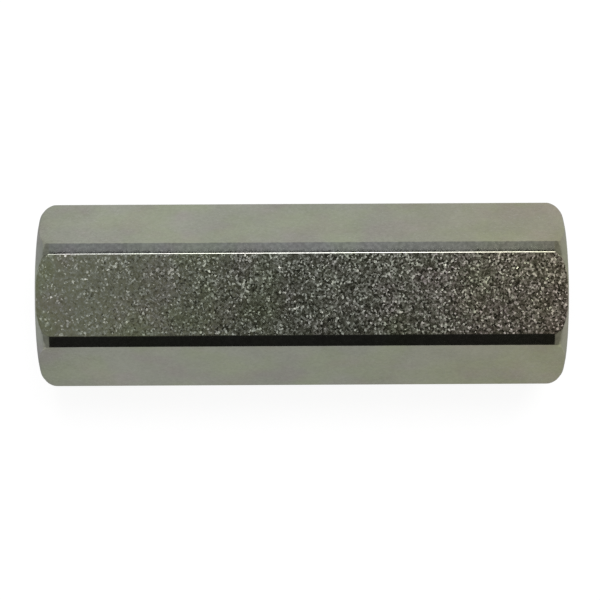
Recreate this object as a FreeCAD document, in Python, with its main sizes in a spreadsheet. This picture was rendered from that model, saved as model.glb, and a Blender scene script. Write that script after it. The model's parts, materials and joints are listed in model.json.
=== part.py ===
"""Threaded adapter: one hexagon bar, turned at its corners and ends, with a tapped port in each end.

Frame: +X runs along the bar and both ports, +Z is up, and the bar lies on one of its flats.
The origin is on the bore's axis, half way between the two end faces. Sizes are millimetres
and degrees.
"""
import FreeCAD, Part
import math
import os

import Sketcher

NODE = "adapter_body"
BAR_SIDES = 6

# Driving sizes. Those of the port are a parallel G 3/8 pipe thread's, with 19 threads to the
# inch. Its bore is left as the tap drill makes it, and the thread is cut outward from there.
DRIVING = {
    "body_length": 70.0,
    "across_flats": 22.0,
    "corner_turning": 0.45,
    "end_cone_angle": 50.0,
    "shoulder_radius": 2.0,
    "rim_radius": 0.8,
    "edge_radius": 0.3,
    "port_bore": 15.25,
    "port_depth": 16.0,
    "mouth_chamfer": 1.1,
    "mouth_angle": 90.0,
    "drill_point_angle": 118.0,
    "through_bore": 10.0,
}

# Sizes that follow from the driving ones. The end cone aims at the circle that touches all the
# flats in the end plane, and a round rim takes over before it gets there, so the end face is
# smaller. The turning tool clears the blank diameter.
FOLLOWING = {
    "across_corners": "=across_flats / cos(30deg)",
    "turned_diameter": "=across_corners - 2 * corner_turning",
    "rim_setback": "=rim_radius * tan((90 - end_cone_angle) * 1deg / 2)",
    "end_face_diameter": "=across_flats - 2 * rim_setback",
    "end_cone": "=(turned_diameter - across_flats) / 2 / tan(end_cone_angle * 1deg)",
    "shoulder": "=end_cone + shoulder_radius * tan(end_cone_angle * 1deg / 2)",
    "blank_diameter": "=across_corners + 2 * end_cone",
    "mouth_diameter": "=port_bore + 2 * mouth_chamfer",
}


def add_sizes(doc):
    """Put the driving sizes and the ones that follow in one sheet, each under its alias."""
    sheet = doc.addObject("Spreadsheet::Sheet", "Sizes")
    cells = {name: str(value) for name, value in DRIVING.items()}
    cells.update(FOLLOWING)
    for row, (name, content) in enumerate(cells.items(), start=1):
        sheet.set(f"A{row}", name)
        sheet.set(f"B{row}", content)
        sheet.setAlias(f"B{row}", name)
    doc.recompute()
    return sheet


def origin_feature(body, role):
    """One of the body's own origin planes or axes."""
    return next(item for item in body.Origin.OriginFeatures if item.Role == role)


def add_sketch(body, name, plane):
    """An empty sketch on one of the body's origin planes."""
    sketch = body.newObject("Sketcher::SketchObject", name)
    sketch.AttachmentSupport = [(origin_feature(body, plane), "")]
    sketch.MapMode = "FlatFace"
    return sketch


def dimension(sketch, name, constraint, size):
    """A named dimension of a sketch that follows a size on the sheet."""
    index = sketch.addConstraint(constraint)
    sketch.renameConstraint(index, name)
    sketch.setExpression(f"Constraints.{name}", size)


def closed_outline(sketch, corners):
    """Straight lines through the corners and back to the first: line i starts at corner i."""
    count = len(corners)
    ends = corners[1:] + corners[:1]
    for start, end in zip(corners, ends):
        sketch.addGeometry(Part.LineSegment(start, end), False)
    for i in range(count):
        sketch.addConstraint(Sketcher.Constraint("Coincident", i, 2, (i + 1) % count, 1))


def centred_circle(sketch, size, value):
    """A circle about the sketch's origin, whose diameter follows a size on the sheet."""
    circle = Part.Circle(FreeCAD.Vector(0, 0, 0), FreeCAD.Vector(0, 0, 1), value / 2)
    index = sketch.addGeometry(circle, False)
    sketch.addConstraint(Sketcher.Constraint("Coincident", index, 3, -1, 1))
    dimension(sketch, "diameter", Sketcher.Constraint("Diameter", index, value), size)


def add_bar(doc, body, sheet):
    """Hexagon bar along X, with one flat up and one down."""
    sketch = add_sketch(body, "bar_section", "YZ_Plane")
    corner = FreeCAD.Vector(sheet.across_corners / 2, 0, 0)
    turns = [FreeCAD.Rotation(FreeCAD.Vector(0, 0, 1), 360 / BAR_SIDES * i) for i in range(BAR_SIDES)]
    closed_outline(sketch, [turn.multVec(corner) for turn in turns])
    for side in range(1, BAR_SIDES):
        sketch.addConstraint(Sketcher.Constraint("Equal", 0, side))
    ring = sketch.addGeometry(Part.Circle(FreeCAD.Vector(), FreeCAD.Vector(0, 0, 1), corner.x), True)
    sketch.addConstraint(Sketcher.Constraint("Coincident", ring, 3, -1, 1))
    for side in range(BAR_SIDES):
        sketch.addConstraint(Sketcher.Constraint("PointOnObject", side, 1, ring))
    sketch.addConstraint(Sketcher.Constraint("PointOnObject", 0, 1, -1))
    dimension(sketch, "across_corners", Sketcher.Constraint("Diameter", ring, sheet.across_corners),
              "Sizes.across_corners")
    pad = body.newObject("PartDesign::Pad", "bar")
    pad.Profile = sketch
    pad.SideType = "Symmetric"
    pad.setExpression("Length", "Sizes.body_length")
    doc.recompute()
    return pad


def add_turning(doc, body, sheet):
    """Turn the corners down to a round land, and each end down to a shoulder, a cone and a rim."""
    sketch = add_sketch(body, "turning_section", "XZ_Plane")
    end = sheet.body_length / 2
    land_end = end - sheet.shoulder
    face = sheet.end_face_diameter / 2
    land = sheet.turned_diameter / 2
    blank = sheet.blank_diameter / 2
    radius = sheet.shoulder_radius
    rim = sheet.rim_radius
    slope = math.radians(sheet.end_cone_angle)
    upright = math.pi / 2
    drop = radius * (1 - math.cos(slope))
    cone_start = FreeCAD.Vector(land_end + radius * math.sin(slope), land - drop, 0)
    cone_end = FreeCAD.Vector(end - rim * (1 - math.sin(slope)), face + rim * math.cos(slope), 0)

    def line(start, stop):
        return sketch.addGeometry(Part.LineSegment(FreeCAD.Vector(*start), FreeCAD.Vector(*stop)), False)

    def arc(along, up, size, start, stop):
        circle = Part.Circle(FreeCAD.Vector(along, up, 0), FreeCAD.Vector(0, 0, 1), size)
        return sketch.addGeometry(Part.ArcOfCircle(circle, start, stop), False)

    def left(point):
        return (-point.x, point.y, 0)

    turned = line((-land_end, land, 0), (land_end, land, 0))
    right_shoulder = arc(land_end, land - radius, radius, upright - slope, upright)
    right_cone = line(cone_start, cone_end)
    right_rim = arc(end - rim, face, rim, 0, upright - slope)
    right_end = line((end, face, 0), (end, blank, 0))
    top = line((end, blank, 0), (-end, blank, 0))
    left_end = line((-end, blank, 0), (-end, face, 0))
    left_rim = arc(rim - end, face, rim, upright + slope, math.pi)
    left_cone = line(left(cone_end), left(cone_start))
    left_shoulder = arc(-land_end, land - radius, radius, upright, upright + slope)
    rule = Sketcher.Constraint
    sketch.addConstraint([
        rule("Tangent", turned, 2, right_shoulder, 2),
        rule("Tangent", right_shoulder, 1, right_cone, 1),
        rule("Tangent", right_cone, 2, right_rim, 2),
        rule("Tangent", right_rim, 1, right_end, 1),
        rule("Coincident", right_end, 2, top, 1),
        rule("Coincident", top, 2, left_end, 1),
        rule("Tangent", left_end, 2, left_rim, 2),
        rule("Tangent", left_rim, 1, left_cone, 1),
        rule("Tangent", left_cone, 2, left_shoulder, 2),
        rule("Tangent", left_shoulder, 1, turned, 1),
        rule("Equal", right_shoulder, left_shoulder),
        rule("Equal", right_rim, left_rim),
        rule("Vertical", right_end),
        rule("Symmetric", top, 1, top, 2, -2),
        rule("Symmetric", turned, 1, turned, 2, -2),
        rule("Symmetric", left_end, 2, right_end, 1, -2),
    ])
    for name, constraint, size in (
        ("length", rule("DistanceX", left_end, 2, right_end, 1, 2 * end), "Sizes.body_length"),
        ("radius", rule("Radius", right_shoulder, radius), "Sizes.shoulder_radius"),
        ("rim", rule("Radius", right_rim, rim), "Sizes.rim_radius"),
        ("shoulder", rule("DistanceX", turned, 2, right_end, 1, end - land_end), "Sizes.shoulder"),
        ("face", rule("DistanceY", -1, 1, right_end, 1, face), "Sizes.end_face_diameter / 2"),
        ("land", rule("DistanceY", -1, 1, turned, 2, land), "Sizes.turned_diameter / 2"),
        ("blank", rule("DistanceY", -1, 1, top, 1, blank), "Sizes.blank_diameter / 2"),
    ):
        dimension(sketch, name, constraint, size)
    groove = body.newObject("PartDesign::Groove", "turning")
    groove.Profile = sketch
    groove.ReferenceAxis = (origin_feature(body, "X_Axis"), [""])
    groove.Angle = 360
    doc.recompute()
    return groove


def add_edge_rounding(doc, body, turning):
    """Break every outer edge of the turned bar with a small radius."""
    rounding = body.newObject("PartDesign::Fillet", "edge_rounding")
    rounding.Base = (turning, [""])
    rounding.UseAllEdges = True
    rounding.setExpression("Radius", "Sizes.edge_radius")
    doc.recompute()
    return rounding


def add_ports(doc, body, sheet):
    """Drill and chamfer a port in the right end, and mirror it to the left one."""
    sketch = add_sketch(body, "port_centre", "YZ_Plane")
    sketch.setExpression("AttachmentOffset.Base.z", "Sizes.body_length / 2")
    centred_circle(sketch, "Sizes.port_bore", sheet.port_bore)
    port = body.newObject("PartDesign::Hole", "port")
    port.Profile = sketch
    doc.recompute()
    port.ThreadType = "None"
    port.DepthType = "Dimension"
    port.DrillPoint = "Angled"
    port.DrillForDepth = False
    port.HoleCutType = "Countersink"
    port.HoleCutCustomValues = True
    port.setExpression("Diameter", "Sizes.port_bore")
    port.setExpression("Depth", "Sizes.port_depth")
    port.setExpression("DrillPointAngle", "Sizes.drill_point_angle")
    port.setExpression("HoleCutDiameter", "Sizes.mouth_diameter")
    port.setExpression("HoleCutCountersinkAngle", "Sizes.mouth_angle")
    doc.recompute()
    both = body.newObject("PartDesign::Mirrored", "both_ports")
    both.Originals = [port]
    both.MirrorPlane = (origin_feature(body, "YZ_Plane"), [""])
    body.Tip = both
    doc.recompute()
    return port, both


def add_through_bore(doc, body, sheet):
    """Join the two ports with a plain bore right through the bar."""
    sketch = add_sketch(body, "bore_section", "YZ_Plane")
    centred_circle(sketch, "Sizes.through_bore", sheet.through_bore)
    bore = body.newObject("PartDesign::Pocket", "through_bore")
    bore.Profile = sketch
    bore.Type = "ThroughAll"
    bore.SideType = "Symmetric"
    doc.recompute()
    return bore


def check_model(doc, body, cuts):
    """Stop unless every object is up to date, every cut removes metal and the solid is sound."""
    for item in doc.Objects:
        if {"Invalid", "Error"} & set(item.State):
            raise RuntimeError(f"{item.Name} could not be made: {item.State}")
    volumes = [feature.Shape.Volume for feature in cuts]
    for feature, before, after in zip(cuts[1:], volumes, volumes[1:]):
        if after >= before:
            raise RuntimeError(f"{feature.Name} removes nothing")
    shape = body.Shape
    if shape.isNull() or not shape.isValid() or len(shape.Solids) != 1:
        raise RuntimeError(f"{body.Label} is not one sound solid")


def main():
    doc = FreeCAD.newDocument("threaded_adapter")
    sheet = add_sizes(doc)
    body = doc.addObject("PartDesign::Body", NODE)
    body.Label = NODE
    bar = add_bar(doc, body, sheet)
    turning = add_turning(doc, body, sheet)
    rounding = add_edge_rounding(doc, body, turning)
    port, both_ports = add_ports(doc, body, sheet)
    bore = add_through_bore(doc, body, sheet)
    body.Tip = bore
    body.Placement = FreeCAD.Placement()
    doc.recompute()
    check_model(doc, body, [bar, turning, rounding, port, both_ports, bore])

    box = body.Shape.optimalBoundingBox(False, False)
    print(f"{body.Label}: {box.XLength:.3f} x {box.YLength:.3f} x {box.ZLength:.3f} mm,"
          f" {body.Shape.Volume / 1000:.3f} cubic centimetres, {len(body.Shape.Faces)} faces")
    os.makedirs("parts", exist_ok=True)
    body.Shape.exportStep(f"parts/{body.Label}.step")


main()
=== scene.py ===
"""Looks of the threaded adapter: a zinc plated hexagon bar with a tapped port in each end.

The piece stands in for the CAD solid, with the same form, softly broken edges and true helical
threads. All lengths are metres in the frame's own axes: X along the bar, Z up.
"""
import json
import math

import bmesh
import bpy
import numpy as np
from mathutils import Matrix, Vector


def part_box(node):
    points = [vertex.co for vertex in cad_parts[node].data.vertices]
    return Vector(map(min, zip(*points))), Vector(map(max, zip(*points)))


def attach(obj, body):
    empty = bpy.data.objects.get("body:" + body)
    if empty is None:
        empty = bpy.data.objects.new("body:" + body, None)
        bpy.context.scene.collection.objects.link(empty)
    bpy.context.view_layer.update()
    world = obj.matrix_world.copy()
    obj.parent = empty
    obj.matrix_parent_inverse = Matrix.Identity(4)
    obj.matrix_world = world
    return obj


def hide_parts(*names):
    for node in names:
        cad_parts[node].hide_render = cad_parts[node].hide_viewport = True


bl_info = {
    "name": "Threaded adapter",
    "version": (1, 0, 0),
    "blender": (4, 5, 0),
    "location": "View3D > Sidebar > Adapter",
    "description": "Builds a plated hexagon adapter with tapped ports, and its studio",
    "category": "Object",
}

NODE = "adapter_body"
BODY = "root"
MM = 0.001

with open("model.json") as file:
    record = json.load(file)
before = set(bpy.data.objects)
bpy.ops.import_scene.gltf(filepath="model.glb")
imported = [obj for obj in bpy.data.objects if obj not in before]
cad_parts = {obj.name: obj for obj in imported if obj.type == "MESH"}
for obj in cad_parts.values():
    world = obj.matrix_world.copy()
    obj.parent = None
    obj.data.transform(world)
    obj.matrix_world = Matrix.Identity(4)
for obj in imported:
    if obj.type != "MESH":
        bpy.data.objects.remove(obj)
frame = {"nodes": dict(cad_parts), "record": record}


def mount(name):
    """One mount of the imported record."""
    return next(item for item in frame["record"]["mounts"] if item["name"] == name)


def node_radii():
    """Distance of each vertex of the solid from the bar's axis."""
    return [math.hypot(v.co.y, v.co.z) for v in frame["nodes"][NODE].data.vertices]


LOW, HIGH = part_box(NODE)
PORT = mount("port_right")
PORT_RADIUS = PORT["dims"]["r_mm"] * MM
PORT_INNER_END = PORT["pos_m"][0] - PORT["dims"]["length_mm"] * MM / 2
PORT_OUTER_END = PORT["pos_m"][0] + PORT["dims"]["length_mm"] * MM / 2

# The 55 degree pipe thread form, in shares of the pitch.
FLANK_ANGLE = math.radians(27.5)
SHARP_HEIGHT = 0.960491
ROUNDED_OFF = SHARP_HEIGHT / 6
ROOT_ROUND = 0.137329

BAR_SIDES = 6


class AdapterSizes(bpy.types.PropertyGroup):
    """Sizes of the bar and its ports. Those that the solid fixes are read from it."""

    length: bpy.props.FloatProperty(
        name="Length", description="Between the two end faces",
        default=HIGH.x - LOW.x, unit="LENGTH")
    across_flats: bpy.props.FloatProperty(
        name="Across flats", description="Spanner size of the hexagon",
        default=HIGH.z - LOW.z, unit="LENGTH")
    across_lands: bpy.props.FloatProperty(
        name="Across lands", description="Diameter that the corners are turned down to",
        default=HIGH.y - LOW.y, unit="LENGTH")
    cone_angle: bpy.props.FloatProperty(
        name="End cone angle", description="Between the end cone and the bar's axis",
        default=math.radians(50), subtype="ANGLE")
    shoulder_radius: bpy.props.FloatProperty(
        name="Shoulder radius", description="Round shoulder between a land and the end cone",
        default=2.0 * MM, unit="LENGTH")
    rim_radius: bpy.props.FloatProperty(
        name="Rim radius", description="Round rim between the end cone and the end face",
        default=0.8 * MM, unit="LENGTH")
    edge_radius: bpy.props.FloatProperty(
        name="Edge radius", description="Rounding of the outer edges",
        default=0.3 * MM, unit="LENGTH")
    mouth_edge_radius: bpy.props.FloatProperty(
        name="Mouth edge radius", description="Rounding where the port's chamfer meets the end face",
        default=0.12 * MM, unit="LENGTH")
    through_bore: bpy.props.FloatProperty(
        name="Through bore", description="Diameter of the bore that joins the ports",
        default=2 * min(node_radii()), unit="LENGTH")
    drill_point: bpy.props.FloatProperty(
        name="Drill point", description="Angle of the cone at the bottom of each port",
        default=math.radians(118), subtype="ANGLE")
    thread_diameter: bpy.props.FloatProperty(
        name="Thread diameter", description="Major diameter at the thread's root",
        default=16.662 * MM, unit="LENGTH")
    pitch: bpy.props.FloatProperty(
        name="Pitch", description="From one thread groove to the next",
        default=25.4 / 19 * MM, unit="LENGTH")
    thread_length: bpy.props.FloatProperty(
        name="Thread length", description="Full thread, from the end face",
        default=12.5 * MM, unit="LENGTH")
    runout: bpy.props.FloatProperty(
        name="Run out", description="Length over which the thread's last grooves fade",
        default=2.2 * MM, unit="LENGTH")


class PlatingLook(bpy.types.PropertyGroup):
    """Colours and grain of the zinc plating."""

    left: bpy.props.FloatVectorProperty(
        name="Plating, left", description="Colour of the plating at the bar's left end",
        default=(0.274, 0.283, 0.236), subtype="COLOR", min=0, max=1)
    right: bpy.props.FloatVectorProperty(
        name="Plating, right", description="Colour of the plating at the bar's right end",
        default=(0.286, 0.279, 0.204), subtype="COLOR", min=0, max=1)
    green: bpy.props.FloatVectorProperty(
        name="Green tint", description="What faint green patches multiply the colour by",
        default=(0.96, 1.0, 0.89), subtype="COLOR", min=0, max=1)
    lilac: bpy.props.FloatVectorProperty(
        name="Lilac tint", description="What faint lilac patches multiply the colour by",
        default=(1.0, 0.945, 1.0), subtype="COLOR", min=0, max=1)
    grain_size: bpy.props.FloatProperty(
        name="Grain size", description="Width of one glinting crystal patch",
        default=0.235 * MM, unit="LENGTH")
    grain_tilt: bpy.props.FloatProperty(
        name="Grain tilt", description="How far the patches of a drawn flat lean away from it",
        default=0.30, min=0, max=1)
    roughness: bpy.props.FloatProperty(
        name="Roughness", description="Roughness of one patch", default=0.15, min=0, max=1)


class StudioLook(bpy.types.PropertyGroup):
    """Camera and light. Card levels are what a reflection of the card shows, 1 being white."""

    scale: bpy.props.FloatProperty(
        name="Scale", description="Pixels of a 600 pixel picture to a millimetre at the bar's axis",
        default=7.385)
    distance: bpy.props.FloatProperty(
        name="Camera distance", description="From the bar's axis", default=0.330, unit="LENGTH")
    ceiling: bpy.props.FloatVectorProperty(
        name="Ceiling", description="Level of the ceiling straight above the bar",
        default=(0.238, 0.24, 0.202), subtype="COLOR")
    strip: bpy.props.FloatProperty(
        name="Strip", description="Level of the strip lamp behind the bar", default=11.0)
    back_card: bpy.props.FloatVectorProperty(
        name="Back card", description="Level of the grey card behind the bar",
        default=(0.70, 0.715, 0.80), subtype="COLOR")
    front_card: bpy.props.FloatProperty(
        name="Front card", description="Level of the black card in front of the bar", default=0.030)


class Value:
    """What leaves one socket of a node tree. Sums and products of values add Math nodes."""

    def __init__(self, tree, socket):
        self.tree = tree
        self.socket = socket

    def __add__(self, other):
        return self.tree.maths("ADD", self, other)

    def __sub__(self, other):
        return self.tree.maths("SUBTRACT", self, other)

    def __rsub__(self, other):
        return self.tree.maths("SUBTRACT", other, self)

    def __mul__(self, other):
        return self.tree.maths("MULTIPLY", self, other)

    def __truediv__(self, other):
        return self.tree.maths("DIVIDE", self, other)

    def __rtruediv__(self, other):
        return self.tree.maths("DIVIDE", other, self)

    __radd__ = __add__
    __rmul__ = __mul__


class Tree:
    """A node tree that is written as expressions."""

    def __init__(self, tree):
        self.tree = tree
        tree.nodes.clear()

    @staticmethod
    def find(sockets, key):
        """A socket by its place, or by its identifier or name."""
        if isinstance(key, int):
            return sockets[key]
        for socket in sockets:
            if key == socket.identifier:
                return socket
        return sockets[key]

    def outputs(self, kind, settings=None, inputs=None, wanted=(0,)):
        """Add a node: its settings first, then the values or links of its sockets."""
        made = self.tree.nodes.new(kind)
        for key, value in (settings or {}).items():
            if key == "stops":
                self.set_stops(made.color_ramp, value)
            else:
                setattr(made, key, value)
        for key, value in (inputs or {}).items():
            socket = self.find(made.inputs, key)
            if isinstance(value, Value):
                self.tree.links.new(value.socket, socket)
            else:
                socket.default_value = value
        return [Value(self, self.find(made.outputs, key)) for key in wanted] if made.outputs else []

    def node(self, kind, settings=None, inputs=None, output=0):
        """Add a node and return one of its outputs."""
        return next(iter(self.outputs(kind, settings, inputs, (output,))), None)

    @staticmethod
    def set_stops(ramp, stops):
        """Give a colour ramp its stops, as places and colours."""
        while len(ramp.elements) > 1:
            ramp.elements.remove(ramp.elements[-1])
        for i, (place, colour) in enumerate(stops):
            stop = ramp.elements[0] if i == 0 else ramp.elements.new(place)
            stop.position = place
            stop.color = colour

    def maths(self, operation, a, b=0.0):
        """A Math node of one or two numbers."""
        return self.node("ShaderNodeMath", {"operation": operation}, {0: a, 1: b})

    def vector(self, operation, a, b=(0.0, 0.0, 0.0)):
        """A Vector Math node of one or two vectors."""
        return self.node("ShaderNodeVectorMath", {"operation": operation}, {0: a, 1: b})

    def scaled(self, vector, factor):
        """A vector or colour times a number."""
        return self.node("ShaderNodeVectorMath", {"operation": "SCALE"}, {0: vector, "Scale": factor})

    def grey(self, level):
        """A grey colour, with all its channels at one level."""
        return self.node("ShaderNodeCombineColor", None, {0: level, 1: level, 2: level})

    def axes(self, vector):
        """The X, Y and Z of a vector."""
        return self.outputs("ShaderNodeSeparateXYZ", None, {0: vector}, (0, 1, 2))

    def mix(self, factor, a, b, blend="MIX"):
        """Colour a where the factor is 0, and b, or a blended with b, where it is 1."""
        inputs = {"Factor_Float": factor, "A_Color": a, "B_Color": b}
        return self.node("ShaderNodeMix", {"data_type": "RGBA", "blend_type": blend}, inputs, "Result_Color")

    def smooth(self, value, low, high, start=0.0, stop=1.0):
        """Start below low, stop above high and a smooth step between."""
        inputs = {"Value": value, "From Min": low, "From Max": high, "To Min": start, "To Max": stop}
        return self.node("ShaderNodeMapRange", {"interpolation_type": "SMOOTHSTEP"}, inputs)

    def noise(self, coordinates, size, detail=2.0):
        """Soft noise about 0.5, whose blotches are about as wide as size."""
        inputs = {"Vector": coordinates, "Scale": 1 / size, "Detail": detail}
        return self.node("ShaderNodeTexNoise", None, inputs, "Fac")


def opaque(colour):
    """A colour with full alpha, as a colour socket takes it."""
    return (*colour, 1.0)


def new_material(name):
    """A material with an empty tree."""
    material = bpy.data.materials.new(name)
    material.use_nodes = True
    return material, Tree(material.node_tree)


# Patches of the plating, from its tints down to its fine mottling: how wide they are, and the noise
# at which they start and at which they are full.
GREEN_PATCHES = (7 * MM, 0.40, 0.64)
CLOUDS = (6 * MM, 0.32, 0.68)
LILAC_PATCHES = (5 * MM, 0.45, 0.68)
GRAIN_CLUSTERS = (2.2 * MM, 0.36, 0.56)
SCUFFS = (1.6 * MM, 0.64, 0.74)
MOTTLING = (0.5 * MM, 0.3, 0.7)


def patches(tree, place, kind, start=0.0, stop=1.0, detail=3):
    """Soft patches of noise, from start outside them to stop within."""
    size, low, high = kind
    return tree.smooth(tree.noise(place, size, detail), low, high, start, stop)


# Marks are this deep, and the tool moves on this far at each turn.
MARK_DEPTH = 0.004 * MM
TURNING_FEED = 0.11 * MM
FACING_FEED = 0.12 * MM

# A turned groove's noise is drawn out round the bar, and a facing groove wanders a little.
ROUND_SHARE = 0.03
WANDER_SHARE = 0.02


def turning_marks(tree, place):
    """Fine grooves round the bar that a turning tool leaves, as a height."""
    along = tree.vector("MULTIPLY", place, (1.0, ROUND_SHARE, ROUND_SHARE))
    return tree.noise(along, TURNING_FEED) * MARK_DEPTH


def facing_marks(tree, place):
    """Fine rings round the bar's axis that a facing tool leaves, as a height."""
    across = tree.vector("MULTIPLY", place, (0.0, 1.0, 1.0))
    radius = tree.node("ShaderNodeVectorMath", {"operation": "LENGTH"}, {0: across}, "Value")
    rings = tree.node("ShaderNodeCombineXYZ", None, {0: radius})
    wander = tree.scaled(place, WANDER_SHARE)
    return tree.noise(tree.vector("ADD", rings, wander), FACING_FEED) * MARK_DEPTH


def scuffs(tree, place):
    """Shallow dents and rubs on the drawn flats, as a height."""
    return patches(tree, place, SCUFFS, detail=2) * -MARK_DEPTH


# Lilac patches lie apart from the green ones, and clouds are this much darker or lighter.
LILAC_SHIFT = (0.31, 0.17, 0.53)
CLOUD_SPREAD = 0.05

# Between these places along the bar, the left end's tint turns into the right end's.
TINT_CHANGE = (0.0, 40 * MM)

# How far a grain patch leans along the bar, across it and up, as shares of the tilt, and how that
# tilt goes from the calm clusters of patches to the lively ones.
LEAN_SHARE = (0.1, 0.54, 0.54)
CALM_TO_LIVELY = (0.75, 1.08)

# What the plating mirrors at a grazing angle.
EDGE_REFLECTION = 0.76


def plating_tint(tree, place, look, shade, mottle):
    """Base colour: left and right tint, green and lilac patches, faint clouds and fine mottling."""
    along = tree.axes(place)[0]
    left = [channel * share for channel, share in zip(look.left, shade)]
    right = [channel * share for channel, share in zip(look.right, shade)]
    tint = tree.mix(tree.smooth(along, *TINT_CHANGE), opaque(left), opaque(right))
    green = patches(tree, place, GREEN_PATCHES)
    tint = tree.mix(green, tint, opaque(look.green), "MULTIPLY")
    lilac = patches(tree, tree.vector("ADD", place, LILAC_SHIFT), LILAC_PATCHES)
    tint = tree.mix(lilac, tint, opaque(look.lilac), "MULTIPLY")
    clouds = patches(tree, place, CLOUDS, 1 - CLOUD_SPREAD, 1 + CLOUD_SPREAD)
    fine = patches(tree, place, MOTTLING, 1 - mottle, 1 + mottle)
    return tree.scaled(tree.scaled(tint, clouds), fine)


def plated_steel(name, look, marks, tilt, roughness, shade=(1.0, 1.0, 1.0), mottle=0.05):
    """Zinc plated steel. Marks says how it was cut, tilt how much its grain glints, shade what
    share of the plating's colour it shows, and mottle how uneven that is."""
    material, tree = new_material(name)
    place = tree.node("ShaderNodeTexCoord", None, None, "Object")
    tint = plating_tint(tree, place, look, shade, mottle)

    first, cell = tree.outputs("ShaderNodeTexVoronoi", {"feature": "F1"},
                               {"Vector": place, "Scale": 1 / look.grain_size}, ("Color", "Position"))
    second = tree.node("ShaderNodeTexWhiteNoise", None, {"Vector": cell}, "Color")
    lean = tree.vector("SUBTRACT", tree.vector("ADD", first, second), (1.0, 1.0, 1.0))
    lean = tree.vector("MULTIPLY", lean, LEAN_SHARE)
    amount = patches(tree, place, GRAIN_CLUSTERS, *CALM_TO_LIVELY, detail=2) * tilt
    normal = tree.node("ShaderNodeNewGeometry", None, None, "Normal")
    leaning = tree.vector("ADD", normal, tree.scaled(lean, amount))
    leaning = tree.vector("NORMALIZE", leaning)
    leaning = tree.node("ShaderNodeBump", None,
                        {"Strength": 1.0, "Distance": 1.0, "Height": marks(tree, place), "Normal": leaning})
    shader = tree.node("ShaderNodeBsdfPrincipled", None, {
        "Base Color": tint,
        "Metallic": 1.0,
        "Specular Tint": opaque([EDGE_REFLECTION] * 3),
        "Roughness": roughness,
        "Normal": leaning,
    })
    tree.node("ShaderNodeOutputMaterial", None, {"Surface": shader})
    return material


class Section:
    """The bar's cross section as angles from +Y and radii: flats, turned lands and rounded edges."""

    FLAT_STEPS = 16
    EDGE_STEPS = 5
    LAND_STEPS = 3

    def __init__(self, sizes):
        apothem = sizes.across_flats / 2
        land = sizes.across_lands / 2
        edge = sizes.edge_radius
        edge_centre = land - edge
        edge_turn = math.acos((apothem - edge) / edge_centre)
        across = edge_centre * math.sin(edge_turn)
        flat_end = math.atan2(across, apothem)
        half_sector = math.pi / BAR_SIDES

        half = []
        for i in range(self.FLAT_STEPS // 2):
            angle = flat_end * i / (self.FLAT_STEPS // 2)
            half.append((angle, apothem / math.cos(angle), "flat"))
        for i in range(self.EDGE_STEPS):
            turn = edge_turn * i / self.EDGE_STEPS
            up = apothem - edge + edge * math.cos(turn)
            out = across + edge * math.sin(turn)
            half.append((math.atan2(out, up), math.hypot(up, out), "land"))
        for i in range(self.LAND_STEPS + 1):
            angle = edge_turn + (half_sector - edge_turn) * i / self.LAND_STEPS
            half.append((angle, land, "land"))

        self.angles, self.radii, self.kinds = [], [], []
        for side in range(BAR_SIDES):
            centre = (2 * side + 1) * half_sector
            falling = [(-a, r, k) for a, r, k in half[:0:-1]]
            kinds = [k for _, _, k in half[-2::-1]] + [k for _, _, k in half[:-1]]
            for (angle, radius, _), kind in zip(falling + half[:-1], kinds):
                self.angles.append(centre + angle)
                self.radii.append(radius)
                self.kinds.append(kind)
        self.angles = np.array(self.angles)
        self.radii = np.array(self.radii)


def heading(turn):
    """Direction of a surface that leans by an angle from the land towards the end face."""
    return Vector((math.sin(turn), math.cos(turn)))


class TurnedEnd:
    """The turned end's outline, drawn in by the edge radius: a shoulder, a cone, a rim and a face."""

    SHOULDER_STEPS = 9
    RIM_STEPS = 7

    def __init__(self, sizes):
        self.edge = sizes.edge_radius
        self.slope = sizes.cone_angle
        self.radius = sizes.shoulder_radius - self.edge
        self.rim_radius = sizes.rim_radius - self.edge
        land = sizes.across_lands / 2
        face = sizes.across_flats / 2
        cone = (land - face) / math.tan(self.slope)
        setback = sizes.shoulder_radius * math.tan(self.slope / 2)
        self.centre = Vector((sizes.length / 2 - cone - setback, land - sizes.shoulder_radius))
        self.cone_start = self.centre + self.radius * heading(self.slope)
        self.end = sizes.length / 2 - self.edge
        rim_setback = sizes.rim_radius * math.tan((math.pi / 2 - self.slope) / 2)
        self.rim = Vector((sizes.length / 2 - sizes.rim_radius, face - rim_setback))
        self.rim_start = self.rim + self.rim_radius * heading(self.slope)
        shoulder = [(self.slope * i / self.SHOULDER_STEPS, False) for i in range(self.SHOULDER_STEPS + 1)]
        rest = math.pi / 2 - self.slope
        rim = [(self.slope + rest * i / self.RIM_STEPS, True) for i in range(self.RIM_STEPS + 1)]
        self.turns = shoulder + rim

    def place(self, radius):
        """Place along the bar where the drawn-in outline has this radius."""
        if radius > self.cone_start.y:
            up = radius - self.centre.y
            return self.centre.x + math.sqrt(max(self.radius ** 2 - up ** 2, 0))
        if radius > self.rim_start.y:
            return self.cone_start.x + (self.cone_start.y - radius) / math.tan(self.slope)
        if radius > self.rim.y:
            return self.rim.x + math.sqrt(max(self.rim_radius ** 2 - (radius - self.rim.y) ** 2, 0))
        return self.end

    def points(self, section_radius):
        """Points of the rounded outline where the bar's section has a radius, one to a turn."""
        cap = section_radius - self.edge
        for turn, past_cone in self.turns:
            inner = self.centre + self.radius * heading(turn)
            if past_cone:
                inner = self.rim + self.rim_radius * heading(turn)
            if inner.y > cap:
                inner = Vector((self.place(cap), cap))
            yield inner + self.edge * heading(turn)


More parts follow.
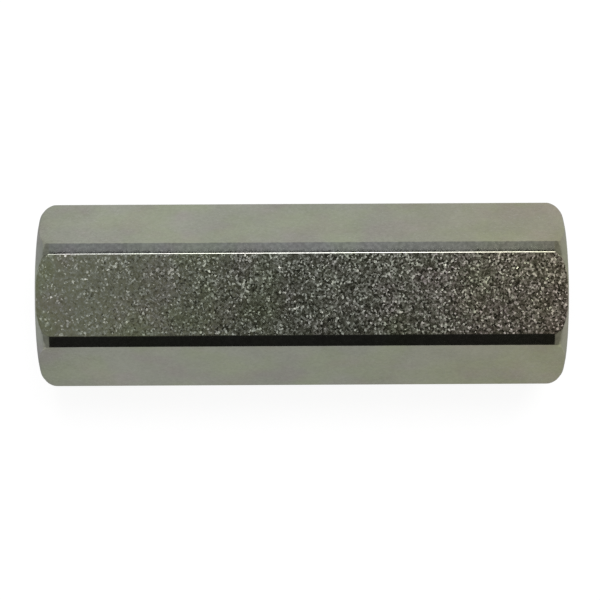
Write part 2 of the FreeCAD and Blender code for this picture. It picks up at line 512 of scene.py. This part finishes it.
def rounded_corner(before, corner, after, radius, steps):
    """Points along a corner of a profile that is rounded to a radius."""
    back = (before - corner).normalized()
    ahead = (after - corner).normalized()
    half_angle = back.angle(ahead) / 2
    tangent = radius / math.tan(half_angle)
    centre = corner + (back + ahead).normalized() * (radius / math.sin(half_angle))
    start = corner + back * tangent - centre
    end = corner + ahead * tangent - centre
    sweep = start.angle(end)
    points = []
    for i in range(steps + 1):
        share = i / steps
        point = (start * math.sin((1 - share) * sweep) + end * math.sin(share * sweep)) / math.sin(sweep)
        points.append(centre + point)
    return points


def between(start, end, steps):
    """Points that divide a straight run, without its two ends."""
    return [start.lerp(end, i / steps) for i in range(1, steps)]


class Profile:
    """Rows of the right half, as places along the bar and radii, from its middle round to the bore."""

    BODY_STEPS = 10
    LIP_STEPS = 4
    FACE_STEPS = 4

    def __init__(self, sizes, turned_end, section_radius):
        end = sizes.length / 2
        mouth = PORT_RADIUS + end - PORT_OUTER_END
        middle = Vector((0, section_radius))
        outline = list(turned_end.points(section_radius))
        lip = Vector((end, mouth))
        throat = Vector((PORT_OUTER_END, PORT_RADIUS))
        lip_edge = rounded_corner(outline[-1], lip, throat, sizes.mouth_edge_radius, self.LIP_STEPS)

        # The shoulder's first half is finished like the body, and the rest like the end.
        half = turned_end.SHOULDER_STEPS // 2 + 1
        self.rows = []
        self.zones = []
        self.add([middle, *between(middle, outline[0], self.BODY_STEPS)], "body")
        self.add(outline[:half], "body")
        self.add(outline[half:-1], "end")
        self.add([outline[-1], *between(outline[-1], lip_edge[0], self.FACE_STEPS)], "face")
        self.add(lip_edge, "face")

    def add(self, points, zone):
        self.rows += points
        self.zones += [zone] * len(points)


def thread_radius(sizes, along, angle):
    """Radius of a port's wall at a place along the bar, with the thread cut outward from it."""
    end = sizes.length / 2
    depth = end - abs(along)
    pitch = sizes.pitch
    root = sizes.thread_diameter / 2
    turn = along / pitch - angle / (2 * math.pi)
    off_centre = abs(turn - round(turn))
    if off_centre < ROOT_ROUND * math.cos(FLANK_ANGLE):
        drop = ROOT_ROUND - math.sqrt(ROOT_ROUND ** 2 - off_centre ** 2)
    else:
        drop = off_centre / math.tan(FLANK_ANGLE) - ROUNDED_OFF
    fade = min(max((depth - sizes.thread_length) / sizes.runout, 0), 1)
    groove = root - drop * pitch - fade * (root - PORT_RADIUS)
    cone = PORT_RADIUS + (end - depth) - PORT_OUTER_END
    return max(groove, PORT_RADIUS, cone)


# Places across one pitch where the thread's outline bends, from a groove's middle to the next.
HALF_TURN = (0.0, 0.065, 0.1218, 0.24, 0.345, 0.372)
TURN_PLACES = HALF_TURN + (0.5,) + tuple(1 - place for place in HALF_TURN[:0:-1])


class BarMesh:
    """Gathers the adapter's vertices and faces, column by column round the axis."""

    CONE_STEPS = 3
    BORE_STEPS = 5

    def __init__(self, sizes):
        self.sizes = sizes
        self.section = Section(sizes)
        self.columns = len(self.section.angles)
        self.points = []
        self.faces = []
        self.zones = []

    def point(self, along, radius, column):
        angle = self.section.angles[column]
        self.points.append((along, radius * math.cos(angle), radius * math.sin(angle)))
        return len(self.points) - 1

    def face(self, corners, zone):
        self.faces.append(corners)
        self.zones.append(zone)

    def grid(self, rows, zones, side):
        """Quads between rows of points. rows[i][j] is the place and radius of row i at column j."""
        made = [[self.point(side * row[j].x, row[j].y, j) for j in range(self.columns)] for row in rows]
        for i in range(len(rows) - 1):
            for j in range(self.columns):
                k = (j + 1) % self.columns
                zone = zones[i] if zones[i] != "body" else self.section.kinds[j]
                self.face((made[i][j], made[i][k], made[i + 1][k], made[i + 1][j]), zone)

    def outside(self, side):
        turned_end = TurnedEnd(self.sizes)
        profiles = [Profile(self.sizes, turned_end, radius) for radius in self.section.radii]
        rows = [list(row) for row in zip(*(profile.rows for profile in profiles))]
        self.grid(rows, profiles[0].zones, side)
        return profiles[0].rows[-1]

    def thread(self, side, inner, outer):
        """The tapped wall between two places along the bar, in rows that follow the helix."""
        pitch = self.sizes.pitch
        turns = math.ceil((outer - inner) / pitch) + 3
        low, high = sorted((side * inner, side * outer))
        first = math.floor(low / pitch) - 1
        places = [(first + turn + place) * pitch for turn in range(turns) for place in TURN_PLACES]
        per_turn = len(TURN_PLACES)
        made = []
        for j in range(self.columns):
            angle = self.section.angles[j]
            lead = pitch * angle / (2 * math.pi)
            column = []
            for place in places:
                along = min(max(place + lead, low), high)
                column.append(self.point(along, thread_radius(self.sizes, along, angle), j))
            made.append(column)
        for j in range(self.columns):
            k = (j + 1) % self.columns
            skip = per_turn if k == 0 else 0
            for i in range(len(places) - 1 - skip):
                self.face((made[j][i], made[k][i + skip], made[k][i + skip + 1], made[j][i + 1]), "port")

    def bore(self, side):
        """The drill point's cone and half of the through bore."""
        bore = self.sizes.through_bore / 2
        cone = (PORT_RADIUS - bore) / math.tan(self.sizes.drill_point / 2)
        bottom = Vector((PORT_INNER_END, PORT_RADIUS))
        shoulder = Vector((PORT_INNER_END - cone, bore))
        middle = Vector((0, bore))
        line = [bottom, *between(bottom, shoulder, self.CONE_STEPS)]
        line += [shoulder, *between(shoulder, middle, self.BORE_STEPS), middle]
        self.grid([[place] * self.columns for place in line], ["port"] * len(line), side)


# Points this close become one, and edges that turn by more than this stay sharp.
WELD_DISTANCE = 0.0002 * MM
SHARP_ANGLE = math.radians(50)


def build_bar(sizes, materials):
    """The whole adapter as one closed mesh."""
    bar = BarMesh(sizes)
    for side in (1, -1):
        last = bar.outside(side)
        bar.thread(side, PORT_INNER_END, last.x)
        bar.bore(side)

    names = list(materials)
    work = bmesh.new()
    points = [work.verts.new(place) for place in bar.points]
    for corners, zone in zip(bar.faces, bar.zones):
        face = work.faces.new([points[i] for i in corners])
        face.material_index = names.index(zone)
        face.smooth = True
    bmesh.ops.remove_doubles(work, verts=work.verts, dist=WELD_DISTANCE)
    bmesh.ops.recalc_face_normals(work, faces=work.faces)
    mesh = bpy.data.meshes.new("adapter_bar")
    work.to_mesh(mesh)
    work.free()
    for material in materials.values():
        mesh.materials.append(material)
    mesh.set_sharp_from_angle(angle=SHARP_ANGLE)
    piece = bpy.data.objects.new("adapter_bar", mesh)
    bpy.context.collection.objects.link(piece)
    weighted = piece.modifiers.new("even normals", "WEIGHTED_NORMAL")
    weighted.keep_sharp = True
    return piece


class ADAPTER_OT_bar(bpy.types.Operator):
    """Build the threaded hexagon bar and dress it in its plating"""

    bl_idname = "adapter.bar"
    bl_label = "Adapter bar"

    def execute(self, context):
        look = context.scene.adapter_plating
        materials = {
            "flat": plated_steel("drawn flat", look, marks=scuffs,
                                 tilt=look.grain_tilt, roughness=look.roughness),
            "land": plated_steel("turned land", look, marks=turning_marks,
                                 tilt=0.035, roughness=0.12, shade=(0.96, 0.95, 0.98), mottle=0.15),
            "end": plated_steel("turned end", look, marks=turning_marks,
                                tilt=0.06, roughness=0.30, shade=(0.92, 0.92, 1.02)),
            "face": plated_steel("faced end", look, marks=facing_marks,
                                 tilt=0.04, roughness=0.26, shade=(0.90, 0.90, 0.94)),
            "port": plated_steel("cut port", look, marks=turning_marks,
                                 tilt=0.08, roughness=0.26, shade=(0.95, 0.95, 0.97)),
        }
        piece = build_bar(context.scene.adapter_sizes, materials)
        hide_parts(NODE)
        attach(piece, BODY)
        return {"FINISHED"}


# The light tent is an arch of soft cards over the bar, seen only in reflections. A place in it is
# named by its angle in degrees from straight up, positive to the back, and its place along the bar.
TENT_RADIUS = 0.9
TENT_HALF_LENGTH = 1.5
TENT_STEPS = 48
TENT_TOP_LEVEL = 12.0

# Levels of the white card and of the dark gap behind the strip lamp, and the angles at which the
# cards, the lamp and the gap end.
WHITE_CARD = 0.9
GAP = 0.06
STRIP_TINT = (0.98, 0.97, 1.05)
DARK_CARD_ENDS = (-85, -40)
STRIP_ENDS = (24, 44)
GAP_BACK = 54.5
BACK_CARD_ENDS = (57, 76)
FLOOR_CARD_FRONT = 81

# Angles and levels of the plainer cards that close the tent beyond the bar's reach.
SIDE_CARDS_FROM = (0.20, 0.27)
SIDE_LEVELS = [
    (-90, 0.9), (-82, 0.8), (-74, 0.45), (-48, 0.45), (17, 0.5), (18, 0.9),
    (38, 0.9), (41, 0.35), (53, 0.35), (57, 0.5), (76, 0.55), (81, 0.9),
]

# The ceiling lies between these angles. Its level grows with the angle, so that grain patches
# that lean to the back glint and those that lean to the front turn dark.
CEILING_FRONT = -30.0
CEILING_BACK = 15.0
CEILING_RIGHT = (0.286, 0.24, 0.243)
CEILING_LEFT = (0.240, 0.24, 0.197)
GLINT_TINT = (0.92, 0.95, 1.18)

# How the tent changes along the bar, from one place to another and from one value to another. The
# ceiling's growth is per degree.
STRIP_LEFT = (-0.13, -0.02, 0.40, 1.0)
STRIP_RIGHT = (0.02, 0.13, 1.0, 0.85)
BACK_CARD_DIMMED = (0.06, 0.12, 0.0, 0.2)
GROWTH_LEFT = (-0.09, -0.01, 1 / 80, 1 / 6.9)
GROWTH_RIGHT = (0.01, 0.08, 1.0, 0.91)
LEVEL_LEFT = (-0.092, -0.012, 1.95, 0.48)
LEVEL_RIGHT = (0.0, 0.065, 0.0, 0.50)
GLINTS_LEFT = (-0.10, -0.02, 3.4, 1.5)
TINT_RIGHT = (0.06, 0.125)
TINT_LEFT = (-0.02, -0.10)

# How it changes with the angle: where glints start, their tint, and the back card's dimming.
GLINTS_FROM = (10, 14)
GLINT_TINT_FROM = (-6, 12)
DIMMED_FROM = (50, 56)

# The front card's near edge, the strip lamp and the ceiling fade out over this many degrees. The
# ceiling hides the rest of the way from the front card to the lamp.
BLEND = 2
BLACK = (0.0, 0.0, 0.0, 1.0)


def tent_stops(levels):
    """Stops of a ramp from the front floor over the top to the back floor, from angles and levels."""
    stops = []
    for angle, level in levels:
        channels = [level] * 3 if isinstance(level, float) else list(level)
        stops.append(((angle + 90) / 180, opaque([channel / TENT_TOP_LEVEL for channel in channels])))
    return stops


def tent_cards(tree, look, along, angle):
    """The cards and the strip lamp. Beyond the bar's reach plainer cards close the tent."""
    share = (angle + 90) / 180
    dark = look.front_card
    strip = [channel * look.strip for channel in STRIP_TINT]
    back = tuple(look.back_card)
    dark_front, dark_back = DARK_CARD_ENDS
    strip_front, strip_back = STRIP_ENDS
    card_front, card_back = BACK_CARD_ENDS
    middle = tree.node("ShaderNodeValToRGB", {"stops": tent_stops([
        (dark_front - BLEND, WHITE_CARD), (dark_front, dark), (dark_back, dark), (CEILING_BACK, WHITE_CARD),
        (strip_front - BLEND, WHITE_CARD), (strip_front, strip), (strip_back, strip),
        (strip_back + BLEND, GAP), (GAP_BACK, GAP), (card_front, back), (card_back, back),
        (FLOOR_CARD_FRONT, WHITE_CARD),
    ])}, {0: share})
    sides = tree.node("ShaderNodeValToRGB", {"stops": tent_stops(SIDE_LEVELS)}, {0: share})
    far = tree.maths("ABSOLUTE", along)
    dimmed = tree.smooth(angle, *DIMMED_FROM) * tree.smooth(far, *BACK_CARD_DIMMED)
    middle = tree.mix(dimmed, middle, BLACK)
    cards = tree.mix(tree.smooth(far, *SIDE_CARDS_FROM), middle, sides)
    ends = tree.smooth(along, *STRIP_LEFT) * tree.smooth(along, *STRIP_RIGHT)
    lamp = tree.smooth(angle, strip_front - BLEND, strip_front)
    lamp = lamp * (1 - tree.smooth(angle, strip_back, strip_back + BLEND))
    return tree.mix(lamp * (1 - ends), cards, BLACK, "MULTIPLY")


def tent_ceiling(tree, look, along, angle):
    """The ceiling: a calm bright left end, a darker and livelier middle and a warm right end."""
    held = tree.maths("MINIMUM", angle, CEILING_BACK + BLEND)
    held = tree.maths("MAXIMUM", held, CEILING_FRONT)
    growth = tree.smooth(along, *GROWTH_LEFT) * tree.smooth(along, *GROWTH_RIGHT)
    level = tree.smooth(along, *LEVEL_LEFT) + tree.smooth(along, *LEVEL_RIGHT)
    glints = tree.smooth(held, *GLINTS_FROM) * tree.smooth(along, *GLINTS_LEFT)
    level = (level * tree.maths("EXPONENT", held * growth) + glints) / TENT_TOP_LEVEL
    tint = tree.mix(tree.smooth(along, *TINT_RIGHT), opaque(look.ceiling), opaque(CEILING_RIGHT))
    tint = tree.mix(tree.smooth(along, *TINT_LEFT), tint, opaque(CEILING_LEFT))
    tint = tree.mix(tree.smooth(held, *GLINT_TINT_FROM), tint, opaque(GLINT_TINT), "MULTIPLY")
    return tree.mix(1.0, tint, tree.grey(level), "MULTIPLY")


def tent_material(look):
    """What each place of the tent shows in a reflection."""
    material, tree = new_material("light tent")
    along, across, up = tree.axes(tree.node("ShaderNodeTexCoord", None, None, "Object"))
    angle = tree.maths("ARCTAN2", across, up) * (180 / math.pi)
    cards = tent_cards(tree, look, along, angle)
    ceiling = tent_ceiling(tree, look, along, angle)
    over = tree.smooth(angle, CEILING_FRONT - BLEND, CEILING_FRONT)
    over = over * (1 - tree.smooth(angle, CEILING_BACK, CEILING_BACK + BLEND))
    shown = tree.mix(over, cards, ceiling)
    shader = tree.node("ShaderNodeEmission", None, {"Color": shown, "Strength": TENT_TOP_LEVEL})
    tree.node("ShaderNodeOutputMaterial", None, {"Surface": shader})
    return material


def add_tent(look):
    """The arch of cards, open in both ends."""
    points = []
    for i in range(TENT_STEPS + 1):
        angle = math.pi * (i / TENT_STEPS - 0.5)
        for x in (-TENT_HALF_LENGTH, TENT_HALF_LENGTH):
            points.append((x, TENT_RADIUS * math.sin(angle), TENT_RADIUS * math.cos(angle)))
    faces = [(2 * i, 2 * i + 1, 2 * i + 3, 2 * i + 2) for i in range(TENT_STEPS)]
    mesh = bpy.data.meshes.new("light_tent")
    mesh.from_pydata(points, [], faces)
    mesh.materials.append(tent_material(look))
    tent = bpy.data.objects.new("light_tent", mesh)
    bpy.context.collection.objects.link(tent)
    tent.visible_camera = False
    tent.visible_diffuse = False
    tent.visible_shadow = False


def light_paths(tree):
    """1 for what the camera sees, and 1 for what a mirror or glass shows."""
    camera, glossy, through = tree.outputs("ShaderNodeLightPath", None, None,
                                           ("Is Camera Ray", "Is Glossy Ray", "Is Transmission Ray"))
    return camera, glossy + through


# The floor is grey to the lamps, so that its shadow is faint, and its own glow lifts it to white.
FLOOR_GREY = (0.20, 0.20, 0.20)
FLOOR_LIFT = 0.85
FLOOR_HALF = 4.0

# How the mirrored floor changes along the bar and across it, from one place to another and, where
# it is given, from no change to the full one.
BEYOND_ENDS = (48 * MM, 70 * MM)
FRONT_SHADE = (8 * MM, -8 * MM, 0.0, 0.23)
TO_BACK = (4 * MM, 14 * MM)
BACK_LEFT_SHADE = (-36.5 * MM, -41 * MM, 0.0, 0.17)
TO_FRONT = (-5 * MM, -12 * MM)
FRONT_LEFT_SHADE = (-35 * MM, -39 * MM, 0.0, 0.08)
GLOW_START = (-34 * MM, -28 * MM)
LEFT_GLOW = (-5 * MM, -18 * MM, 0.0, 0.055)


def mirrored_floor(tree, along, across):
    """What the side flats mirror of the floor: darker in front and at the left end, and brighter
    in the left half."""
    beside = 1 - tree.smooth(tree.maths("ABSOLUTE", along), *BEYOND_ENDS)
    front = tree.smooth(across, *FRONT_SHADE) * beside
    back_left = tree.smooth(across, *TO_BACK) * tree.smooth(along, *BACK_LEFT_SHADE)
    front_left = tree.smooth(across, *TO_FRONT) * tree.smooth(along, *FRONT_LEFT_SHADE)
    glow = tree.smooth(along, *GLOW_START) * tree.smooth(along, *LEFT_GLOW)
    return FLOOR_LIFT - front - back_left - front_left + glow


def add_floor():
    """A pale floor, white in the picture, that keeps the adapter's shadow."""
    material, tree = new_material("pale floor")
    diffuse = tree.node("ShaderNodeBsdfDiffuse", None, {"Color": opaque(FLOOR_GREY)})
    seen, mirrored = light_paths(tree)
    along, across, _ = tree.axes(tree.node("ShaderNodeTexCoord", None, None, "Object"))
    glow = tree.grey(seen * FLOOR_LIFT + mirrored * mirrored_floor(tree, along, across))
    lift = tree.node("ShaderNodeEmission", None, {"Color": glow, "Strength": 1.0})
    shader = tree.node("ShaderNodeAddShader", None, {0: diffuse, 1: lift})
    tree.node("ShaderNodeOutputMaterial", None, {"Surface": shader})
    signs = ((-1, -1), (1, -1), (1, 1), (-1, 1))
    corners = [(x * FLOOR_HALF, y * FLOOR_HALF, LOW.z) for x, y in signs]
    mesh = bpy.data.meshes.new("floor")
    mesh.from_pydata(corners, [], [(0, 1, 2, 3)])
    mesh.materials.append(material)
    floor = bpy.data.objects.new("floor", mesh)
    bpy.context.collection.objects.link(floor)


# Level of the backdrop's light on things. Seen or mirrored, the backdrop is white.
SOFT_LIGHT = 0.4


def add_world():
    """White backdrop in the picture and in reflections, and soft even light on the floor."""
    world = bpy.data.worlds.new("studio")
    bpy.context.scene.world = world
    world.use_nodes = True
    tree = Tree(world.node_tree)
    seen, mirrored = light_paths(tree)
    shader = tree.node("ShaderNodeBackground", None, {
        "Color": opaque((1, 1, 1)),
        "Strength": (seen + mirrored) * (1 - SOFT_LIGHT) + SOFT_LIGHT,
    })
    tree.node("ShaderNodeOutputWorld", None, {"Surface": shader})


# Name, place, width and watts of each lamp.
LAMPS = (
    ("key", (0.2, 0.7, 1.1), 1.0, 12),
    ("fill", (-0.5, -0.4, 1.2), 1.2, 5),
)


def add_lamp(name, place, size, power):
    """A soft square lamp that faces the adapter."""
    lamp = bpy.data.lights.new(name, "AREA")
    lamp.size = size
    lamp.energy = power
    holder = bpy.data.objects.new(name, lamp)
    holder.location = place
    holder.rotation_mode = "QUATERNION"
    holder.rotation_quaternion = (-Vector(place)).to_track_quat("-Z", "Y")
    holder.visible_glossy = False
    bpy.context.collection.objects.link(holder)


# Blender gives a sensor's width in millimetres.
SENSOR_WIDTH = 36

# Where the photographed bar's middle lies in the picture, in pixels, and by how many radians the
# camera was out of square with it.
PICTURE_SIZE = 600
PICTURE_CENTRE = Vector((301.6, 294.4))
CAMERA_SWING = 0.0035
CAMERA_ROLL = 0.0051


def add_camera(look):
    """The camera looks straight down on the flat that is up."""
    lens = bpy.data.cameras.new("camera")
    lens.sensor_width = SENSOR_WIDTH
    metre = look.scale / MM
    lens.lens = metre * look.distance / PICTURE_SIZE * SENSOR_WIDTH
    turn = Matrix.Rotation(CAMERA_ROLL, 3, "Z") @ Matrix.Rotation(CAMERA_SWING, 3, "Y")
    right, up, back = (Vector(row) for row in turn)
    place = back * look.distance
    place += right * ((PICTURE_SIZE / 2 - PICTURE_CENTRE.x) / metre)
    place += up * ((PICTURE_CENTRE.y - PICTURE_SIZE / 2) / metre)
    camera = bpy.data.objects.new("camera", lens)
    camera.matrix_world = Matrix.Translation(place) @ turn.transposed().to_4x4()
    bpy.context.collection.objects.link(camera)
    bpy.context.scene.camera = camera


class ADAPTER_OT_studio(bpy.types.Operator):
    """Build the floor, backdrop, light tent, lamps and camera"""

    bl_idname = "adapter.studio"
    bl_label = "Studio"

    def execute(self, context):
        look = context.scene.adapter_studio
        add_world()
        add_floor()
        add_tent(look)
        for name, place, size, power in LAMPS:
            add_lamp(name, place, size, power)
        add_camera(look)
        context.scene.view_settings.view_transform = "Standard"
        return {"FINISHED"}


class ADAPTER_PT_sidebar(bpy.types.Panel):
    """Sizes, looks and steps of the adapter"""

    bl_label = "Threaded adapter"
    bl_idname = "ADAPTER_PT_sidebar"
    bl_space_type = "VIEW_3D"
    bl_region_type = "UI"
    bl_category = "Adapter"

    def draw(self, context):
        scene = context.scene
        for group in (scene.adapter_sizes, scene.adapter_plating, scene.adapter_studio):
            box = self.layout.box()
            for name in group.__annotations__:
                box.prop(group, name)
        for operator in (ADAPTER_OT_bar, ADAPTER_OT_studio):
            self.layout.operator(operator.bl_idname)


CLASSES = (AdapterSizes, PlatingLook, StudioLook, ADAPTER_OT_bar, ADAPTER_OT_studio, ADAPTER_PT_sidebar)


def register():
    for cls in CLASSES:
        bpy.utils.register_class(cls)
    bpy.types.Scene.adapter_sizes = bpy.props.PointerProperty(type=AdapterSizes)
    bpy.types.Scene.adapter_plating = bpy.props.PointerProperty(type=PlatingLook)
    bpy.types.Scene.adapter_studio = bpy.props.PointerProperty(type=StudioLook)


def unregister():
    del bpy.types.Scene.adapter_studio
    del bpy.types.Scene.adapter_plating
    del bpy.types.Scene.adapter_sizes
    for cls in reversed(CLASSES):
        bpy.utils.unregister_class(cls)


def main():
    register()
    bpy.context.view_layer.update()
    bpy.ops.adapter.bar()
    bpy.ops.adapter.studio()
    bpy.context.view_layer.update()


if __name__ == "__main__":
    main()
